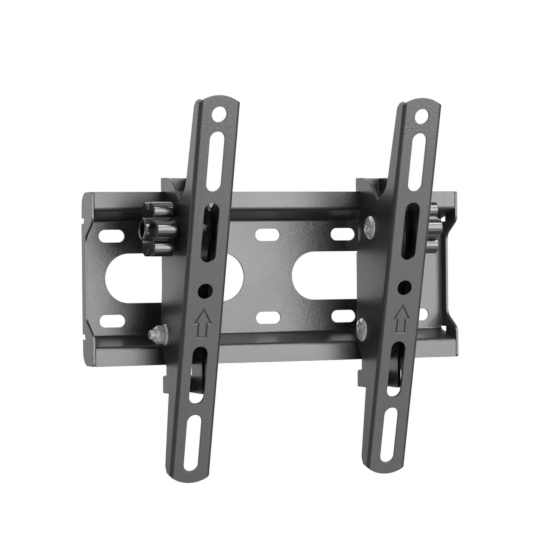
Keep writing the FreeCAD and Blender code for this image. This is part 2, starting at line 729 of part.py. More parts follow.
def make_nut(label, across, outer_side):
    """Locking nut: a round flange, a hexagon and a collar, with the bore through them."""
    full_height = size.nut_height + size.nut_collar
    flange = doc.addObject("Part::Cylinder", f"{label}_flange")
    bind(flange, Radius=size.nut_flange / 2, Height=size.nut_flange_sheet)
    hexagon = doc.addObject("Part::Prism", f"{label}_hexagon")
    hexagon.Polygon = 6
    bind(hexagon, Circumradius=size.nut_flats / root(as_size(3)), Height=size.nut_height)
    collar = doc.addObject("Part::Cylinder", f"{label}_collar")
    bind(collar, Radius=size.nut_collar_size / 2, Height=full_height)
    outside = doc.addObject("Part::MultiFuse", f"{label}_outside")
    outside.Shapes = [flange, hexagon, collar]
    bore = doc.addObject("Part::Cylinder", f"{label}_bore")
    bind(bore, Radius=hole_size / 2, Height=full_height)
    nut = doc.addObject("Part::Cut", label)
    nut.Label = label
    nut.Base = outside
    nut.Tool = bore
    nut.Placement.Rotation = FreeCAD.Rotation(FreeCAD.Vector(0, 1, 0), 90 * outer_side)
    centre, depth, height = bolt_place(across, clamp=False)
    place(nut, centre + arm_half * outer_side, depth, height)
    return nut


def disc(body, name, outer_side, start, length, diameter):
    """Adds a round boss about the knob's axis, from start outwards."""
    outline = new_sketch(body, f"{name}Outline", "YZ_Plane", start * outer_side)
    add_circle(outline, ZERO, ZERO, diameter)
    return pad(body, name, outline, length, reverse=outer_side < 0)


def make_knob(label, across, outer_side):
    """Moulded clamp knob: six round lobes on a core, a hub at each end and a stepped bore."""
    body = new_body(label)
    start = knob_start
    lobes_start = start + size.knob_root
    lobes_end = lobes_start + size.lobe_length
    far_end = lobes_end + size.knob_nose
    disc(body, "Core", outer_side, lobes_start, size.lobe_length, size.lobe_circle * 2)
    lobe_outline = new_sketch(body, "LobeOutline", "YZ_Plane", lobes_start * outer_side)
    add_circle(lobe_outline, ZERO, size.lobe_circle, size.lobe_radius * 2)
    lobe = pad(body, "Lobe", lobe_outline, size.lobe_length, reverse=outer_side < 0)
    ring = body.newObject("PartDesign::PolarPattern", "Lobes")
    ring.Originals = [lobe]
    ring.Axis = (lobe_outline, ["N_Axis"])
    ring.Angle = 360
    ring.setExpression("Occurrences", size.knob_lobes.formula)
    body.Tip = ring
    doc.recompute()
    rim = size.lobe_circle + size.lobe_radius
    crowns = new_sketch(body, "CrownOutline", "XZ_Plane")
    for end, inwards in ((lobes_start, size.lobe_bevel), (lobes_end, -size.lobe_bevel)):
        corners = [
            (end, rim - size.lobe_bevel), (end + inwards, rim),
            (end + inwards, rim + size.lobe_bevel), (end, rim + size.lobe_bevel)]
        add_outline(crowns, [(along * outer_side, up) for along, up in corners])
    revolve(body, "Groove", "Crowns", crowns)
    disc(body, "Root", outer_side, start, size.knob_root, size.knob_hub)
    nose = disc(body, "Nose", outer_side, lobes_end, size.knob_nose, size.knob_hub)
    nose_rim = body.newObject("PartDesign::Chamfer", "NoseRim")
    nose_rim.Base = (nose, [
        f"Edge{number}" for number, edge in enumerate(nose.Shape.Edges, start=1)
        if abs(abs(edge.CenterOfMass.x) - far_end.value) < 0.01])
    nose_rim.setExpression("Size", size.nose_bevel.formula)
    doc.recompute()

    # The bore steps from the insert's socket, past the bolt, to the open recess.
    for name, at, depth, diameter, inwards in (
            ("Socket", start, size.insert_length, size.insert_size, False),
            ("Recess", far_end, size.knob_recess_depth, size.knob_recess, True),
            ("Passage", far_end, far_end - start, size.knob_passage, True)):
        outline = new_sketch(body, f"{name}Outline", "YZ_Plane", at * outer_side)
        add_circle(outline, ZERO, ZERO, diameter)
        pocket(body, name, outline, depth, reverse=(outer_side > 0) != inwards)
    place(body, *bolt_place(across, clamp=True), tilt=size.knob_turn)
    return body


def make_assembly(side, across, outer_side):
    """One bracket with its arm, bolts, nut, spacers and knob."""
    def ring_at(name, near, thickness, outside, turned, clamp):
        """A ring whose inner end lies near the arm's middle, on the outer or inner side."""
        start = near if turned > 0 else -(near + thickness)
        return make_ring(f"{side}_{name}", start, thickness, outside, hole_size, across, clamp)

    spacer_at = hook_half + size.side_play
    nodes = [
        make_hook_bracket(f"{side}_hook_bracket", across),
        make_tilt_arm(f"{side}_tilt_arm", across, -outer_side),
        make_bolt(f"{side}_pivot_bolt", across, outer_side, clamp=False),
        make_bolt(f"{side}_clamp_bolt", across, outer_side, clamp=True),
        make_nut(f"{side}_pivot_nut", across, outer_side),
        make_knob(f"{side}_clamp_knob", across, outer_side),
        ring_at("knob_insert", knob_start, size.insert_length, size.insert_size,
                outer_side, clamp=True),
    ]
    for bolt, clamp in (("pivot", False), ("clamp", True)):
        for name, turned in (("outer", outer_side), ("inner", -outer_side)):
            nodes.append(ring_at(f"{bolt}_spacer_{name}", spacer_at, spacer_sheet,
                                 size.spacer_size, turned, clamp))
    return nodes


pieces = [make_wall_plate()]
pieces += make_assembly("left", -size.left_arm, -1)
pieces += make_assembly("right", size.right_arm, 1)
doc.recompute()

for item in doc.Objects:
    if "Invalid" in item.State or "Error" in item.State:
        raise ValueError(f"{item.Label} failed: {item.State}")

os.makedirs("parts", exist_ok=True)
for piece in pieces:
    shape = piece.Shape
    if shape.isNull() or not shape.isValid() or len(shape.Solids) != 1:
        raise ValueError(f"{piece.Label} isn't one valid solid")
    shape.exportStep(f"parts/{piece.Label}.step")
    print(f"{piece.Label}: {shape.Volume:.1f} mm3")
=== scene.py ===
import math

import bmesh
import bpy
from mathutils import Matrix, Vector


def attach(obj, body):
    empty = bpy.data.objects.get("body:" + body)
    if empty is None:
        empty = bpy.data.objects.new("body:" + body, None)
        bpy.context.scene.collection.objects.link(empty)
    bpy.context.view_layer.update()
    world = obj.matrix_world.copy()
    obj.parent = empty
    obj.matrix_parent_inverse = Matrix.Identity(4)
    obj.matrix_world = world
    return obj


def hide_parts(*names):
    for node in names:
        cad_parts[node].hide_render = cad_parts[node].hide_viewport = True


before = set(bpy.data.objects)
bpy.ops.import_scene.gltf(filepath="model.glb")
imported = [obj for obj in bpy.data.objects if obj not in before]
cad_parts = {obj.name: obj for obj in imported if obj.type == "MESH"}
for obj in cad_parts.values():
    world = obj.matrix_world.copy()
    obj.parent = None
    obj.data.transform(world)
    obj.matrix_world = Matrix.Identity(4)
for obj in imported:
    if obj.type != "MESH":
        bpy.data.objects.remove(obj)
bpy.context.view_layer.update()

# Tilting wall bracket for a flat television, hung in plain studio light.
# Lengths are in millimetres unless a comment says otherwise, and MM turns them to metres.
MM = 0.001
MERGE_WITHIN = 0.002 * MM
SHARP_FOLD = 30.0      # degrees, where shading breaks
ROUNDED_FOLD = 35.0    # degrees, from which an edge is rounded
ROUNDING_STEPS = 2
ROUND_COLUMNS = 64     # points round a turned shape

# Places repeated from the part's source
ARM_TILT = math.radians(15.0)
PIVOT = Vector((0.0, -32.0, -33.0)) * MM
CLAMP = Vector((0.0, -45.924, 29.009)) * MM
ARM_CENTRES = {"left": -64.6 * MM, "right": 61.8 * MM}
OUTWARDS = {"left": -1, "right": 1}
ARM_HALF = 12.5 * MM
ARM_FACE = -27.2


# Meshes


def add_piece(name, mesh, material=None):
    """A new object at the origin that shows this mesh."""
    piece = bpy.data.objects.new(name, mesh)
    bpy.context.scene.collection.objects.link(piece)
    if material is not None:
        mesh.materials.clear()
        mesh.materials.append(material)
    return piece


def settle(piece):
    """Turns a piece with modifiers into the plain mesh that they make."""
    graph = bpy.context.evaluated_depsgraph_get()
    mesh = bpy.data.meshes.new_from_object(piece.evaluated_get(graph))
    piece.modifiers.clear()
    piece.data = mesh
    return mesh


def shade(piece, sharp_angle=SHARP_FOLD):
    """Smooth shading that breaks at folds sharper than the angle."""
    piece.data.polygons.foreach_set("use_smooth", [True] * len(piece.data.polygons))
    piece.data.set_sharp_from_angle(angle=math.radians(sharp_angle))


def even_normals(piece, sharp_angle=SHARP_FOLD):
    """Shading that keeps flats flat and folds round, with sharp folds beyond the angle."""
    shade(piece, sharp_angle)
    weights = piece.modifiers.new("Even normals", "WEIGHTED_NORMAL")
    weights.keep_sharp = True
    settle(piece)


def round_edges(piece, width, angle=ROUNDED_FOLD):
    """Rounds every edge that is sharper than the angle."""
    bevel = piece.modifiers.new("Rounded edges", "BEVEL")
    bevel.width = width * MM
    bevel.segments = ROUNDING_STEPS
    bevel.limit_method = "ANGLE"
    bevel.angle_limit = math.radians(angle)
    bevel.use_clamp_overlap = False
    settle(piece)


def cut_away(piece, cutter):
    """Cuts the cutter's volume out of the piece and drops the cutter."""
    boolean = piece.modifiers.new("Cut", "BOOLEAN")
    boolean.operation = "DIFFERENCE"
    boolean.solver = "EXACT"
    boolean.object = cutter
    settle(piece)
    bpy.data.objects.remove(cutter)


def plain_mesh(shape, name):
    """The mesh of a finished bmesh, which is freed."""
    mesh = bpy.data.meshes.new(name)
    shape.to_mesh(mesh)
    shape.free()
    return mesh


def bridge(shape, ring, across):
    """Faces between two rings of points; a ring of one point makes a fan."""
    count = max(len(ring), len(across))
    for spot in range(count):
        beside = (spot + 1) % count
        corners = []
        for points, spots in ((ring, (spot, beside)), (across, (beside, spot))):
            corners += [points[0]] if len(points) == 1 else [points[here] for here in spots]
        shape.faces.new(corners)


def lathe(name, rows, columns=ROUND_COLUMNS):
    """Closed mesh about x from rows of (x, radius); a radius may depend on the angle."""
    shape = bmesh.new()
    rings = []
    for x, radius in rows:
        ring = []
        for column in range(columns if radius else 1):
            angle = 2 * math.pi * column / columns
            reach = (radius(angle) if callable(radius) else radius) * MM
            around = reach * math.cos(angle), reach * math.sin(angle)
            ring.append(shape.verts.new((x * MM, *around)))
        rings.append(ring)
    for ring, across in zip(rings, rings[1:]):
        bridge(shape, ring, across)
    bmesh.ops.remove_doubles(shape, verts=shape.verts, dist=MERGE_WITHIN)
    bmesh.ops.recalc_face_normals(shape, faces=shape.faces)
    return plain_mesh(shape, name)


def prism(name, lower, upper):
    """Closed mesh between two outlines with the same number of points."""
    shape = bmesh.new()
    rings = [[shape.verts.new(Vector(point) * MM) for point in outline]
             for outline in (lower, upper)]
    bridge(shape, *rings)
    for ring in rings:
        shape.faces.new(ring)
    bmesh.ops.recalc_face_normals(shape, faces=shape.faces)
    return plain_mesh(shape, name)


def joined(name, meshes, material):
    """One piece from several meshes."""
    shape = bmesh.new()
    for mesh in meshes:
        shape.from_mesh(mesh)
    return add_piece(name, plain_mesh(shape, name), material)


def finish_piece(piece, body, slot, *nodes):
    """The piece rides on its body and stands for its solids."""
    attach(piece, body)
    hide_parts(*nodes)


# Node trees

# Sockets of a colour Mix node, whose names its other sockets share
COLOUR_A, COLOUR_B = 6, 7
MIXED_COLOUR = 2
WHITE = (1, 1, 1, 1)
# Nearly all of a noise pattern lies between these levels.
NOISE_LOW, NOISE_HIGH = 0.3, 0.7


def add_node(tree, kind, inputs=None, **settings):
    """Adds a node with its settings; an input takes a value, a socket or another node."""
    node = tree.nodes.new(kind)
    for setting, value in settings.items():
        setattr(node, setting, value)
    for socket, value in (inputs or {}).items():
        if isinstance(value, bpy.types.Node):
            value = value.outputs[0]
        if isinstance(value, bpy.types.NodeSocket):
            tree.links.new(value, node.inputs[socket])
        else:
            node.inputs[socket].default_value = value
    return node


def linear(code):
    """An sRGB hex colour as linear red, green, blue and alpha."""
    parts = [int(code[spot:spot + 2], 16) / 255 for spot in (1, 3, 5)]
    return [c / 12.92 if c <= 0.04045 else ((c + 0.055) / 1.055) ** 2.4 for c in parts] + [1.0]


def new_material(name):
    """An empty node material and its tree."""
    material = bpy.data.materials.new(name)
    material.use_nodes = True
    material.node_tree.nodes.clear()
    return material, material.node_tree


# Fine-textured polyester powder coat on cold-rolled steel. Baked powder leaves a tight
# orange-peel grain under a satin skin, so broad reflections stay soft and edges glint.
# Inside the plate's channels the colour is darkened as painted shade, and the surface is made
# rougher.
COAT_DARK = linear("#1b1c1c")
COAT_LIGHT = linear("#272828")
# Painted shade: the darker colour given to the insides of the plate's channels, and the name
# of their mask
COAT_PAINTED_SHADE = linear("#0e0f0f")
CHANNEL_SHADE = "painted_channel_shade"
COAT_GRAIN = 1.0          # mm, drawn twice as coarse as real grain so that it shows
COAT_GRAIN_HEIGHT = 0.12  # mm
COAT_SPECKLE_FROM = 0.35  # level of the grain from which it turns lighter
COAT_CLOUD = 35.0         # mm, faint differences in the powder's thickness
COAT_ROUGHNESS = (0.27, 0.33)
CHANNEL_ROUGHNESS = 0.1      # more than elsewhere
COAT_IOR = 1.6
COAT_SPECULAR = 1.0       # twice the plain level, for the glint of its fine grain


def powder_coat():
    material, tree = new_material("powder_coated_steel")
    place = add_node(tree, "ShaderNodeTexCoord").outputs["Object"]
    grain = add_node(tree, "ShaderNodeTexNoise", {
        "Vector": place, "Scale": 1 / (COAT_GRAIN * MM), "Detail": 2.0, "Roughness": 0.55})
    cloud = add_node(tree, "ShaderNodeTexNoise", {
        "Vector": place, "Scale": 1 / (COAT_CLOUD * MM), "Detail": 3.0, "Roughness": 0.5})
    speckle = add_node(tree, "ShaderNodeMapRange", {
        "Value": grain, "From Min": COAT_SPECKLE_FROM, "From Max": NOISE_HIGH})
    colour = add_node(tree, "ShaderNodeMix", {
        "Factor": speckle, COLOUR_A: COAT_DARK, COLOUR_B: COAT_LIGHT}, data_type="RGBA")
    # Painted shade: the channels' insides are darkened here, and their roughness raised below
    painted_shade = add_node(tree, "ShaderNodeAttribute", attribute_name=CHANNEL_SHADE).outputs["Fac"]
    shaded_colour = add_node(tree, "ShaderNodeMix", {
        "Factor": painted_shade, COLOUR_A: colour.outputs[MIXED_COLOUR], COLOUR_B: COAT_PAINTED_SHADE},
        data_type="RGBA")
    gloss = add_node(tree, "ShaderNodeMapRange", {
        "Value": cloud, "From Min": NOISE_LOW, "From Max": NOISE_HIGH,
        "To Min": COAT_ROUGHNESS[0], "To Max": COAT_ROUGHNESS[1]})
    dulled = add_node(tree, "ShaderNodeMath", {
        0: painted_shade, 1: CHANNEL_ROUGHNESS, 2: gloss}, operation="MULTIPLY_ADD")
    bump = add_node(tree, "ShaderNodeBump", {
        "Height": grain, "Strength": 1.0, "Distance": COAT_GRAIN_HEIGHT * MM})
    skin = add_node(tree, "ShaderNodeBsdfPrincipled", {
        "Base Color": shaded_colour.outputs[MIXED_COLOUR], "Roughness": dulled, "Normal": bump,
        "IOR": COAT_IOR, "Specular IOR Level": COAT_SPECULAR})
    add_node(tree, "ShaderNodeOutputMaterial", {"Surface": skin})
    return material


# Bright zinc plating on turned steel: a thin, slightly cloudy bluish layer that mirrors
# its surroundings softly, with the milky look of the passivation on top.
ZINC_BRIGHT = linear("#e8eaed")
ZINC_DULL = linear("#d9dce0")
ZINC_CLOUD = 5.0   # mm
ZINC_ROUGHNESS = (0.13, 0.2)
ZINC_METAL = 0.65  # the rest is the matt passivation


def zinc_plate():
    material, tree = new_material("bright_zinc_plated_steel")
    place = add_node(tree, "ShaderNodeTexCoord").outputs["Object"]
    cloud = add_node(tree, "ShaderNodeTexNoise", {
        "Vector": place, "Scale": 1 / (ZINC_CLOUD * MM), "Detail": 1.0, "Roughness": 0.5})
    colour = add_node(tree, "ShaderNodeMix", {
        "Factor": cloud, COLOUR_A: ZINC_BRIGHT, COLOUR_B: ZINC_DULL}, data_type="RGBA")
    gloss = add_node(tree, "ShaderNodeMapRange", {
        "Value": cloud, "From Min": NOISE_LOW, "From Max": NOISE_HIGH,
        "To Min": ZINC_ROUGHNESS[0], "To Max": ZINC_ROUGHNESS[1]})
    metal = add_node(tree, "ShaderNodeBsdfPrincipled", {
        "Base Color": colour.outputs[MIXED_COLOUR], "Metallic": ZINC_METAL,
        "Roughness": gloss})
    add_node(tree, "ShaderNodeOutputMaterial", {"Surface": metal})
    return material


# Injection-moulded ABS, black, from a polished mould: a dense gloss skin like a coat of
# lacquer, with faint flow marks.
KNOB_BLACK = linear("#0c0d0d")
KNOB_GREY = linear("#131414")
KNOB_FLOW = 6.0    # mm
KNOB_ROUGHNESS = (0.12, 0.2)
KNOB_SKIN_ROUGHNESS = 0.15
KNOB_IOR = 1.54
KNOB_SPECULAR = 1.0  # twice the plain level, for its polished skin


def moulded_plastic():
    material, tree = new_material("moulded_black_abs")
    place = add_node(tree, "ShaderNodeTexCoord").outputs["Object"]
    flow = add_node(tree, "ShaderNodeTexNoise", {
        "Vector": place, "Scale": 1 / (KNOB_FLOW * MM), "Detail": 2.0, "Roughness": 0.5})
    colour = add_node(tree, "ShaderNodeMix", {
        "Factor": flow, COLOUR_A: KNOB_BLACK, COLOUR_B: KNOB_GREY}, data_type="RGBA")
    gloss = add_node(tree, "ShaderNodeMapRange", {
        "Value": flow, "From Min": NOISE_LOW, "From Max": NOISE_HIGH,
        "To Min": KNOB_ROUGHNESS[0], "To Max": KNOB_ROUGHNESS[1]})
    skin = add_node(tree, "ShaderNodeBsdfPrincipled", {
        "Base Color": colour.outputs[MIXED_COLOUR], "Roughness": gloss, "IOR": KNOB_IOR,
        "Specular IOR Level": KNOB_SPECULAR, "Coat Weight": 1.0,
        "Coat Roughness": KNOB_SKIN_ROUGHNESS})
    add_node(tree, "ShaderNodeOutputMaterial", {"Surface": skin})
    return material


# Moulded nylon washers: dull and slightly waxy, with a fine grain from the mould.
NYLON_BLACK = linear("#1c1c1c")
NYLON_GREY = linear("#262626")
NYLON_GRAIN = 0.8          # mm
NYLON_GRAIN_HEIGHT = 0.02  # mm
NYLON_ROUGHNESS = 0.55
NYLON_IOR = 1.53


def moulded_nylon():
    material, tree = new_material("moulded_black_nylon")
    place = add_node(tree, "ShaderNodeTexCoord").outputs["Object"]
    grain = add_node(tree, "ShaderNodeTexNoise", {
        "Vector": place, "Scale": 1 / (NYLON_GRAIN * MM), "Detail": 2.0})
    colour = add_node(tree, "ShaderNodeMix", {
        "Factor": grain, COLOUR_A: NYLON_BLACK, COLOUR_B: NYLON_GREY}, data_type="RGBA")
    bump = add_node(tree, "ShaderNodeBump", {
        "Height": grain, "Strength": 1.0, "Distance": NYLON_GRAIN_HEIGHT * MM})
    skin = add_node(tree, "ShaderNodeBsdfPrincipled", {
        "Base Color": colour.outputs[MIXED_COLOUR], "Roughness": NYLON_ROUGHNESS,
        "Normal": bump, "IOR": NYLON_IOR})
    add_node(tree, "ShaderNodeOutputMaterial", {"Surface": skin})
    return material


coat = powder_coat()
zinc = zinc_plate()
plastic = moulded_plastic()
nylon = moulded_nylon()


# Folded sheets: the solid's own shape with rounded, coated edges
SHEET_EDGE = 0.2   # how far powder rounds a punched edge
FLAT_WITHIN = math.radians(0.4)


def coated_sheet(node, cutter=None):
    """A clean copy of a folded sheet's mesh, stamped by the cutter, with rounded edges."""
    shape = bmesh.new()
    shape.from_mesh(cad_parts[node].data)
    bmesh.ops.remove_doubles(shape, verts=shape.verts, dist=MERGE_WITHIN)
    bmesh.ops.dissolve_limit(
        shape, angle_limit=FLAT_WITHIN, verts=shape.verts, edges=shape.edges,
        use_dissolve_boundaries=False)
    name = f"coated_{node}"
    sheet = add_piece(name, plain_mesh(shape, name), coat)
    if cutter is not None:
        cut_away(sheet, cutter)
    round_edges(sheet, SHEET_EDGE)
    even_normals(sheet)
    return sheet


# Stamped arrow that shows which end is up
ARROW_TIP, ARROW_BARB, ARROW_END = 23.2, 14.6, 6.2
ARROW_HEAD_HALF, ARROW_STEM_HALF = 5.0, 2.6
ARROW_LINE = 0.9        # width at the face
ARROW_LINE_FLOOR = 0.5  # width at the bottom of the stamped groove
ARROW_DEPTH = 0.6
ARROW = [
    (0, ARROW_TIP), (ARROW_HEAD_HALF, ARROW_BARB), (ARROW_STEM_HALF, ARROW_BARB),
    (ARROW_STEM_HALF, ARROW_END), (-ARROW_STEM_HALF, ARROW_END),
    (-ARROW_STEM_HALF, ARROW_BARB), (-ARROW_HEAD_HALF, ARROW_BARB)]


def moved_outline(outline, distance):
    """The clockwise outline with every side moved outwards by the distance."""
    moved = []
    for spot, corner in enumerate(outline):
        here = Vector(corner)
        before = (here - Vector(outline[spot - 1])).normalized()
        after = (Vector(outline[(spot + 1) % len(outline)]) - here).normalized()
        normals = Vector((-before.y, before.x)), Vector((-after.y, after.x))
        bisector = (normals[0] + normals[1]).normalized()
        moved.append(here + bisector * (distance / bisector.dot(normals[0])))
    return moved


def arm_place(side):
    """From an arm's own axes (across, backwards, along) to the row's."""
    move = Matrix.Translation(PIVOT + Vector((ARM_CENTRES[side], 0, 0)))
    return move @ Matrix.Rotation(ARM_TILT, 4, "X")


def arrow_cutter(side):
    """The groove of the arrow as a ring whose walls lean outwards."""
    shape = bmesh.new()
    above, bottom = ARM_FACE - ARROW_DEPTH, ARM_FACE + ARROW_DEPTH
    floor = ARROW_LINE_FLOOR / 2
    mouth = ARROW_LINE - floor
    rings = []
    for distance, depth in ((mouth, above), (floor, bottom), (-floor, bottom),
                            (-mouth, above)):
        rings.append([shape.verts.new(Vector((point.x, depth, point.y)) * MM)
                      for point in moved_outline(ARROW, distance)])
    for spot, ring in enumerate(rings):
        bridge(shape, ring, rings[(spot + 1) % len(rings)])
    bmesh.ops.recalc_face_normals(shape, faces=shape.faces)
    mesh = plain_mesh(shape, "arrow_cutter")
    mesh.transform(arm_place(side))
    return add_piece("arrow_cutter", mesh)


CHANNEL_HEIGHT = 40.0 * MM   # the plate's channels lie further from its middle than this


def mark_channel_shade(piece):
    """Marks the insides of the plate's two channels, which take painted shade and a rougher
    finish.
    """
    marks = piece.data.attributes.new(CHANNEL_SHADE, "FLOAT", "FACE")
    for face, mark in zip(piece.data.polygons, marks.data):
        inwards = -face.normal.z if face.center.z > 0 else face.normal.z
        if abs(face.center.z) > CHANNEL_HEIGHT:
            mark.value = max(0.0, inwards)


plate = coated_sheet("wall_plate")
mark_channel_shade(plate)
finish_piece(plate, "wall_plate", "powder_coat", "wall_plate")
for side in ARM_CENTRES:
    bracket = coated_sheet(f"{side}_hook_bracket")
    finish_piece(bracket, f"{side}_bracket", "powder_coat", f"{side}_hook_bracket")
    arm = coated_sheet(f"{side}_tilt_arm", arrow_cutter(side))
    finish_piece(arm, f"{side}_arm", "powder_coat", f"{side}_tilt_arm")


# Threads and knob lobes, each from a node tree that bends a grid round the x axis
SEAM_WITHIN = 0.0005 * MM
THREAD_FLAT = 0.06   # share of a turn that half a flat crest or half a flat root takes


def new_tree(name, sizes):
    """A geometry tree with named number inputs and a material; gives it and its inputs."""
    tree = bpy.data.node_groups.new(name, "GeometryNodeTree")
    tree.interface.new_socket("Geometry", in_out="OUTPUT", socket_type="NodeSocketGeometry")
    for size in sizes:
        tree.interface.new_socket(size, in_out="INPUT", socket_type="NodeSocketFloat")
    tree.interface.new_socket("Material", in_out="INPUT", socket_type="NodeSocketMaterial")
    given = add_node(tree, "NodeGroupInput").outputs
    return tree, given


def row_grid(tree, span, columns):
    """A grid with span + 1 rows; gives it and each point's row and share of a turn."""
    rows = add_node(tree, "ShaderNodeMath", {0: span, 1: 1.0}, operation="ADD")
    grid = add_node(tree, "GeometryNodeMeshGrid", {
        "Size X": span, "Size Y": 1.0, "Vertices X": rows, "Vertices Y": columns})
    spot = add_node(tree, "ShaderNodeSeparateXYZ", {
        "Vector": add_node(tree, "GeometryNodeInputPosition")})
    row = add_node(tree, "ShaderNodeMath", {
        0: span, 1: 0.5, 2: spot.outputs["X"]}, operation="MULTIPLY_ADD")
    turn = add_node(tree, "ShaderNodeMath", {
        0: spot.outputs["Y"], 1: 0.5}, operation="ADD")
    return grid, row, turn


def from_ends(tree, row, last):
    """A row's distance to the nearer end row, and whether it lies between the two."""
    to_end = add_node(tree, "ShaderNodeMath", {
        0: row, 1: add_node(tree, "ShaderNodeMath", {
            0: last, 1: row}, operation="SUBTRACT")}, operation="MINIMUM")
    between = add_node(tree, "ShaderNodeMath", {
        0: to_end, 1: 0.5}, operation="GREATER_THAN")
    return to_end, between


def end_tree(tree, given, grid, along, radius, angle):
    """Bends the grid round the x axis, closes its seam and ends, and ends the tree."""
    sides = [add_node(tree, "ShaderNodeMath", {
        0: radius, 1: add_node(tree, "ShaderNodeMath", {0: angle}, operation=kind)},
        operation="MULTIPLY") for kind in ("COSINE", "SINE")]
    place = add_node(tree, "ShaderNodeCombineXYZ", {"X": along, "Y": sides[0], "Z": sides[1]})
    bent = add_node(tree, "GeometryNodeSetPosition", {"Geometry": grid, "Position": place})
    closed = add_node(tree, "GeometryNodeMergeByDistance", {
        "Geometry": bent, "Distance": SEAM_WITHIN})
    real = add_node(tree, "GeometryNodeRealizeInstances", {"Geometry": closed})
    painted = add_node(tree, "GeometryNodeSetMaterial", {
        "Geometry": real, "Material": given["Material"]})
    add_node(tree, "NodeGroupOutput", {"Geometry": painted})


def grown(name, tree, material, **sizes):
    """The mesh that a tree makes with these sizes."""
    piece = add_piece(name, bpy.data.meshes.new(name))
    modifier = piece.modifiers.new(tree.name, "NODES")
    modifier.node_group = tree
    sizes = {key.replace("_", " ").capitalize(): value for key, value in sizes.items()}
    for item in tree.interface.items_tree:
        if item.in_out == "INPUT":
            modifier[item.identifier] = sizes.get(item.name, material)
    mesh = settle(piece)
    bpy.data.objects.remove(piece)
    return mesh


def thread_tree():
    """A threaded rod from x = 0: one helical ridge with a bevelled tip."""
    tree, given = new_tree("Thread", [
        "Radius", "Pitch", "Depth", "Length", "Bevel", "Rows", "Columns"])
    last = add_node(tree, "ShaderNodeMath", {0: given["Rows"], 1: 1.0}, operation="SUBTRACT")
    grid, row, turn = row_grid(tree, last, given["Columns"])
    # The first and last rows close the rod, so the rest share out the length.
    inner_rows = add_node(tree, "ShaderNodeMath", {0: last, 1: 2.0}, operation="SUBTRACT")
    share = add_node(tree, "ShaderNodeMath", {
        0: add_node(tree, "ShaderNodeMath", {0: row, 1: 1.0}, operation="SUBTRACT"),
        1: inner_rows}, operation="DIVIDE", use_clamp=True)
    along = add_node(tree, "ShaderNodeMath", {
        0: share, 1: given["Length"]}, operation="MULTIPLY")
    turns = add_node(tree, "ShaderNodeMath", {
        0: along, 1: given["Pitch"]}, operation="DIVIDE")
    phase = add_node(tree, "ShaderNodeMath", {
        0: add_node(tree, "ShaderNodeMath", {0: turns, 1: turn}, operation="SUBTRACT")},
        operation="FRACT")
    ridge = add_node(tree, "ShaderNodeMath", {
        0: add_node(tree, "ShaderNodeMath", {0: phase, 1: 0.5}, operation="SUBTRACT")},
        operation="ABSOLUTE")
    valley = add_node(tree, "ShaderNodeMapRange", {
        "Value": ridge, "From Min": THREAD_FLAT, "From Max": 0.5 - THREAD_FLAT,
        "To Min": given["Depth"], "To Max": 0.0})
    crest = add_node(tree, "ShaderNodeMath", {
        0: given["Radius"], 1: valley}, operation="SUBTRACT")
    before_tip = add_node(tree, "ShaderNodeMath", {
        0: given["Length"], 1: along}, operation="SUBTRACT")
    tip = add_node(tree, "ShaderNodeMath", {
        0: add_node(tree, "ShaderNodeMath", {
            0: given["Radius"], 1: given["Bevel"]}, operation="SUBTRACT"),
        1: before_tip}, operation="ADD")
    reach = add_node(tree, "ShaderNodeMath", {0: crest, 1: tip}, operation="MINIMUM")
    between = from_ends(tree, row, last)[1]
    radius = add_node(tree, "ShaderNodeMath", {0: reach, 1: between}, operation="MULTIPLY")
    angle = add_node(tree, "ShaderNodeMath", {
        0: turn, 1: 2 * math.pi}, operation="MULTIPLY")
    end_tree(tree, given, grid, along, radius, angle)
    return tree


